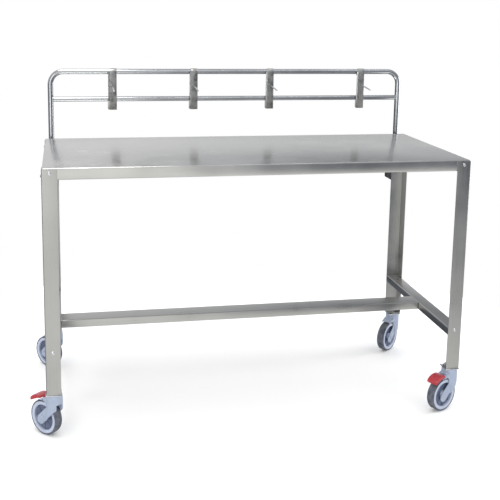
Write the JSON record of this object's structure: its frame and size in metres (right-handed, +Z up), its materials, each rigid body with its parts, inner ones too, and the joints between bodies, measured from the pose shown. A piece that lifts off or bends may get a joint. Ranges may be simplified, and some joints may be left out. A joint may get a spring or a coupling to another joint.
{
  "type": "instrument cart",
  "caption": "Stainless steel instrument cart: a folded worktop on angle legs with swivel casters, front ones braked, and a rear rail hoop carrying sliding peg hangers.",
  "frame": {"origin": "on the floor, at the centre of the footprint's bounding box with the casters as they stand", "axes": "+Z up, +X along the worktop's length to the user's right, -Y towards the user, the rail hoop on the +Y side"},
  "size_m": [1.5622, 0.7684, 1.2204],
  "materials": {
    "worktop_steel": "smooth rolled stainless steel, softly mirroring",
    "frame_steel": "satin stainless steel sheet",
    "tube_steel": "polished stainless steel tube and rod",
    "hanger_steel": "brushed stainless steel strip",
    "bolt_steel": "bright stainless steel fasteners",
    "housing_plastic": "pale blue-grey moulded plastic, satin",
    "wheel_plastic": "pale blue-grey moulded plastic, satin",
    "tread_rubber": "blue-grey elastic tread, matt",
    "pedal_plastic": "red moulded plastic",
    "black_plastic": "black moulded plastic"
  },
  "bodies": {
    "frame": {"caster_base_front_left": "bolt_steel", "caster_base_front_right": "bolt_steel", "caster_base_rear_left": "bolt_steel", "caster_base_rear_right": "bolt_steel", "caster_nut_front_left": "bolt_steel", "caster_nut_front_right": "bolt_steel", "caster_nut_rear_left": "bolt_steel", "caster_nut_rear_right": "bolt_steel", "centre_rail": "frame_steel", "hoop_guide_left": "black_plastic", "hoop_guide_right": "black_plastic", "hoop_socket_left": "black_plastic", "hoop_socket_right": "black_plastic", "leg_bolt_low_front_left": "bolt_steel", "leg_bolt_low_front_right": "bolt_steel", "leg_bolt_low_rear_left": "bolt_steel", "leg_bolt_low_rear_right": "bolt_steel", "leg_bolt_top_front_left": "bolt_steel", "leg_bolt_top_front_right": "bolt_steel", "leg_bolt_top_rear_left": "bolt_steel", "leg_bolt_top_rear_right": "bolt_steel", "leg_front_left": "frame_steel", "leg_front_right": "frame_steel", "leg_rear_left": "frame_steel", "leg_rear_right": "frame_steel", "mid_rail": "tube_steel", "rail_hoop": "tube_steel", "side_rail_left": "frame_steel", "side_rail_right": "frame_steel", "worktop": "worktop_steel", "worktop_stiffener": "frame_steel"},
    "caster_front_left": {"caster_housing_front_left": "housing_plastic", "wheel_axle_front_left": "bolt_steel", "brake_pin_front_left": "bolt_steel"},
    "wheel_front_left": {"wheel_rim_front_left": "wheel_plastic", "wheel_tyre_front_left": "tread_rubber"},
    "pedal_front_left": {"brake_pedal_front_left": "pedal_plastic"},
    "caster_front_right": {"caster_housing_front_right": "housing_plastic", "wheel_axle_front_right": "bolt_steel", "brake_pin_front_right": "bolt_steel"},
    "wheel_front_right": {"wheel_rim_front_right": "wheel_plastic", "wheel_tyre_front_right": "tread_rubber"},
    "pedal_front_right": {"brake_pedal_front_right": "pedal_plastic"},
    "caster_rear_left": {"caster_housing_rear_left": "housing_plastic", "wheel_axle_rear_left": "bolt_steel"},
    "wheel_rear_left": {"wheel_rim_rear_left": "wheel_plastic", "wheel_tyre_rear_left": "tread_rubber"},
    "caster_rear_right": {"caster_housing_rear_right": "housing_plastic", "wheel_axle_rear_right": "bolt_steel"},
    "wheel_rear_right": {"wheel_rim_rear_right": "wheel_plastic", "wheel_tyre_rear_right": "tread_rubber"},
    "hanger_1": {"hanger_1": "hanger_steel", "hanger_peg_1": "tube_steel"},
    "hanger_2": {"hanger_2": "hanger_steel", "hanger_peg_2": "tube_steel"},
    "hanger_3": {"hanger_3": "hanger_steel", "hanger_peg_3": "tube_steel"},
    "hanger_4": {"hanger_4": "hanger_steel", "hanger_peg_4": "tube_steel"}
  },
  "joints": [
    {"name": "swivel_front_left", "type": "hinge", "parent": "frame", "child": "caster_front_left", "pos_m": [-0.69808, -0.32122, 0.156], "axis": [0, 0, 1], "continuous": true},
    {"name": "roll_front_left", "type": "hinge", "parent": "caster_front_left", "child": "wheel_front_left", "pos_m": [-0.72561, -0.2922, 0.0625], "axis": [-0.7254, -0.6884, 0], "continuous": true},
    {"name": "press_pedal_front_left", "type": "hinge", "parent": "caster_front_left", "child": "pedal_front_left", "pos_m": [-0.72286, -0.2951, 0.1305], "axis": [-0.7254, -0.6884, 0], "range_deg": [0, 10]},
    {"name": "swivel_front_right", "type": "hinge", "parent": "frame", "child": "caster_front_right", "pos_m": [0.75152, -0.32122, 0.156], "axis": [0, 0, 1], "continuous": true},
    {"name": "roll_front_right", "type": "hinge", "parent": "caster_front_right", "child": "wheel_front_right", "pos_m": [0.71573, -0.33906, 0.0625], "axis": [0.4462, -0.8949, 0], "continuous": true},
    {"name": "press_pedal_front_right", "type": "hinge", "parent": "caster_front_right", "child": "pedal_front_right", "pos_m": [0.71931, -0.33728, 0.1305], "axis": [0.4462, -0.8949, 0], "range_deg": [0, 10]},
    {"name": "swivel_rear_left", "type": "hinge", "parent": "frame", "child": "caster_rear_left", "pos_m": [-0.69808, 0.27838, 0.156], "axis": [0, 0, 1], "continuous": true},
    {"name": "roll_rear_left", "type": "hinge", "parent": "caster_rear_left", "child": "wheel_rear_left", "pos_m": [-0.72536, 0.30764, 0.0625], "axis": [-0.7314, -0.682, 0], "continuous": true},
    {"name": "swivel_rear_right", "type": "hinge", "parent": "frame", "child": "caster_rear_right", "pos_m": [0.75152, 0.27838, 0.156], "axis": [0, 0, 1], "continuous": true},
    {"name": "roll_rear_right", "type": "hinge", "parent": "caster_rear_right", "child": "wheel_rear_right", "pos_m": [0.72111, 0.25241, 0.0625], "axis": [0.6494, -0.7604, 0], "continuous": true},
    {"name": "slide_hanger_1", "type": "slide", "parent": "frame", "child": "hanger_1", "axis": [1, 0, 0], "range_m": [-0.163, 0.144]},
    {"name": "slide_hanger_2", "type": "slide", "parent": "frame", "child": "hanger_2", "axis": [1, 0, 0], "range_m": [-0.144, 0.139]},
    {"name": "slide_hanger_3", "type": "slide", "parent": "frame", "child": "hanger_3", "axis": [1, 0, 0], "range_m": [-0.139, 0.176]},
    {"name": "slide_hanger_4", "type": "slide", "parent": "frame", "child": "hanger_4", "axis": [1, 0, 0], "range_m": [-0.176, 0.094]}
  ]
}
